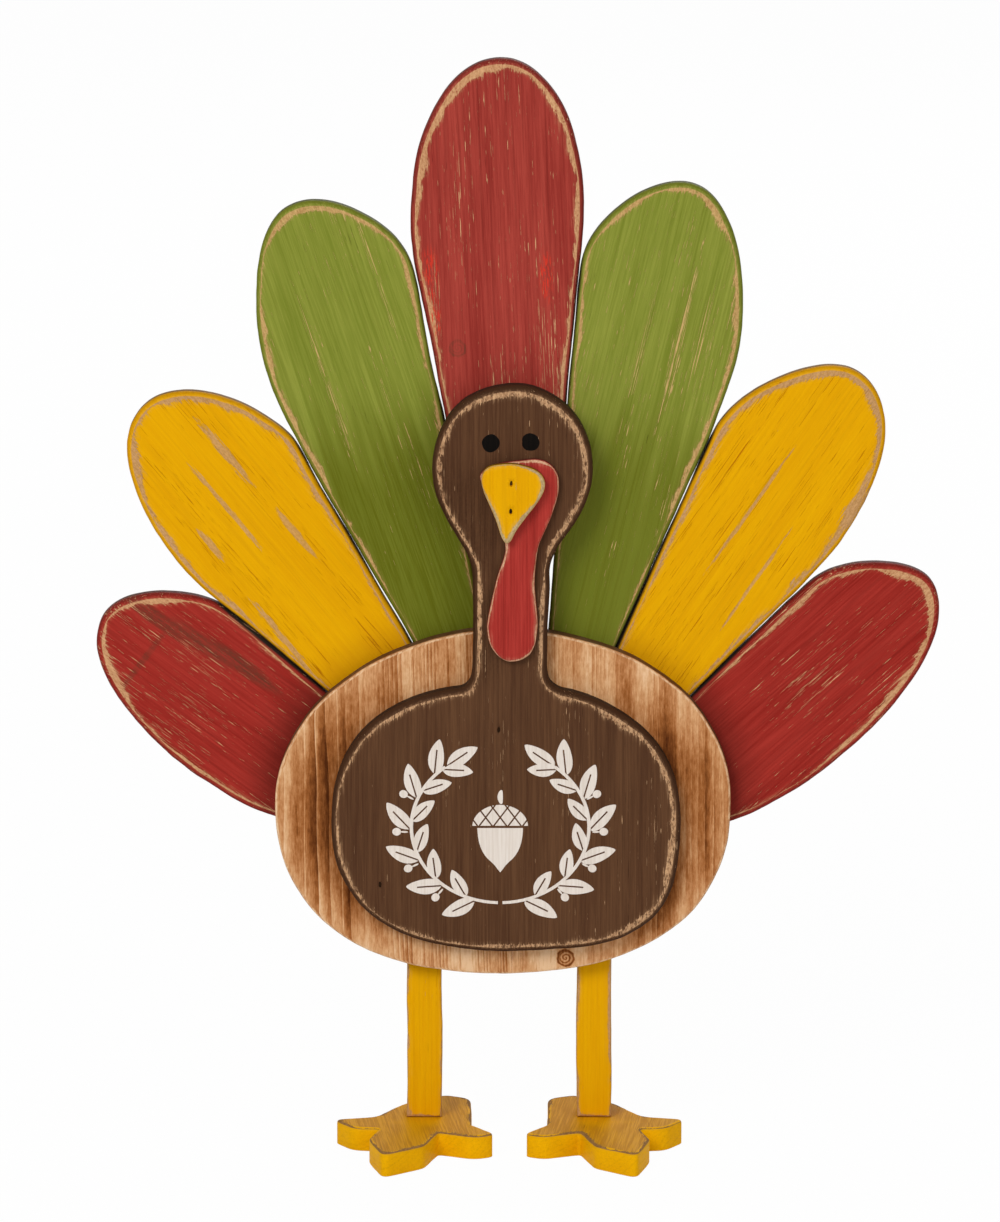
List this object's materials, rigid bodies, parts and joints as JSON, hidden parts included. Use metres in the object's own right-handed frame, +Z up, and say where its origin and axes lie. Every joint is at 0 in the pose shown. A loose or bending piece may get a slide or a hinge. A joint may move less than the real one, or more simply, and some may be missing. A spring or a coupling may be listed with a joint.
{
  "type": "turkey figure",
  "caption": "Free-standing turkey of layered flat wooden boards: oval body, fan of painted tail feathers, head board with beak and wattle, and straight legs on toed feet.",
  "frame": {"origin": "bottom centre of the bounding box, on the surface that the feet stand on", "axes": "+Z up, -Y the way that the face looks, +X to the right seen from the front"},
  "size_m": [0.4678, 0.1238, 0.6098],
  "materials": {
    "red_paint": "dark red milk paint on pine, rubbed through at the edges, matte",
    "green_paint": "olive green milk paint on pine, rubbed through at the edges, matte",
    "yellow_paint": "golden yellow paint on pine, rubbed through at the edges, low satin",
    "brown_paint": "dark brown paint on pine with a lighter worn line inside the rounded edge, matte",
    "torched_pine": "bare pine scorched brown with the grain left light, clear matte finish",
    "steel": "zinc plated steel, dull"
  },
  "bodies": {
    "root": {"tail_feather_centre": "red_paint", "tail_feather_left_inner": "green_paint", "tail_feather_right_inner": "green_paint", "tail_feather_left_middle": "yellow_paint", "tail_feather_right_middle": "yellow_paint", "tail_feather_left_outer": "red_paint", "tail_feather_right_outer": "red_paint", "tail_feather_centre_screw_1": "steel", "tail_feather_centre_screw_2": "steel", "tail_feather_left_inner_screw_1": "steel", "tail_feather_left_inner_screw_2": "steel", "tail_feather_right_inner_screw_1": "steel", "tail_feather_right_inner_screw_2": "steel", "tail_feather_left_middle_screw_1": "steel", "tail_feather_left_middle_screw_2": "steel", "tail_feather_right_middle_screw_1": "steel", "tail_feather_right_middle_screw_2": "steel", "tail_feather_left_outer_screw_1": "steel", "tail_feather_left_outer_screw_2": "steel", "tail_feather_right_outer_screw_1": "steel", "tail_feather_right_outer_screw_2": "steel", "body_board_left": "torched_pine", "body_board_right": "torched_pine", "head_board": "brown_paint", "wattle": "red_paint", "beak": "yellow_paint", "beak_brad_1": "steel", "beak_brad_2": "steel", "belly_brad_1": "steel", "belly_brad_2": "steel", "left_leg": "yellow_paint", "right_leg": "yellow_paint", "left_leg_screw_1": "steel", "left_leg_screw_2": "steel", "right_leg_screw_1": "steel", "right_leg_screw_2": "steel", "left_foot": "yellow_paint", "right_foot": "yellow_paint", "left_foot_screw": "steel", "right_foot_screw": "steel"}
  },
  "joints": []
}
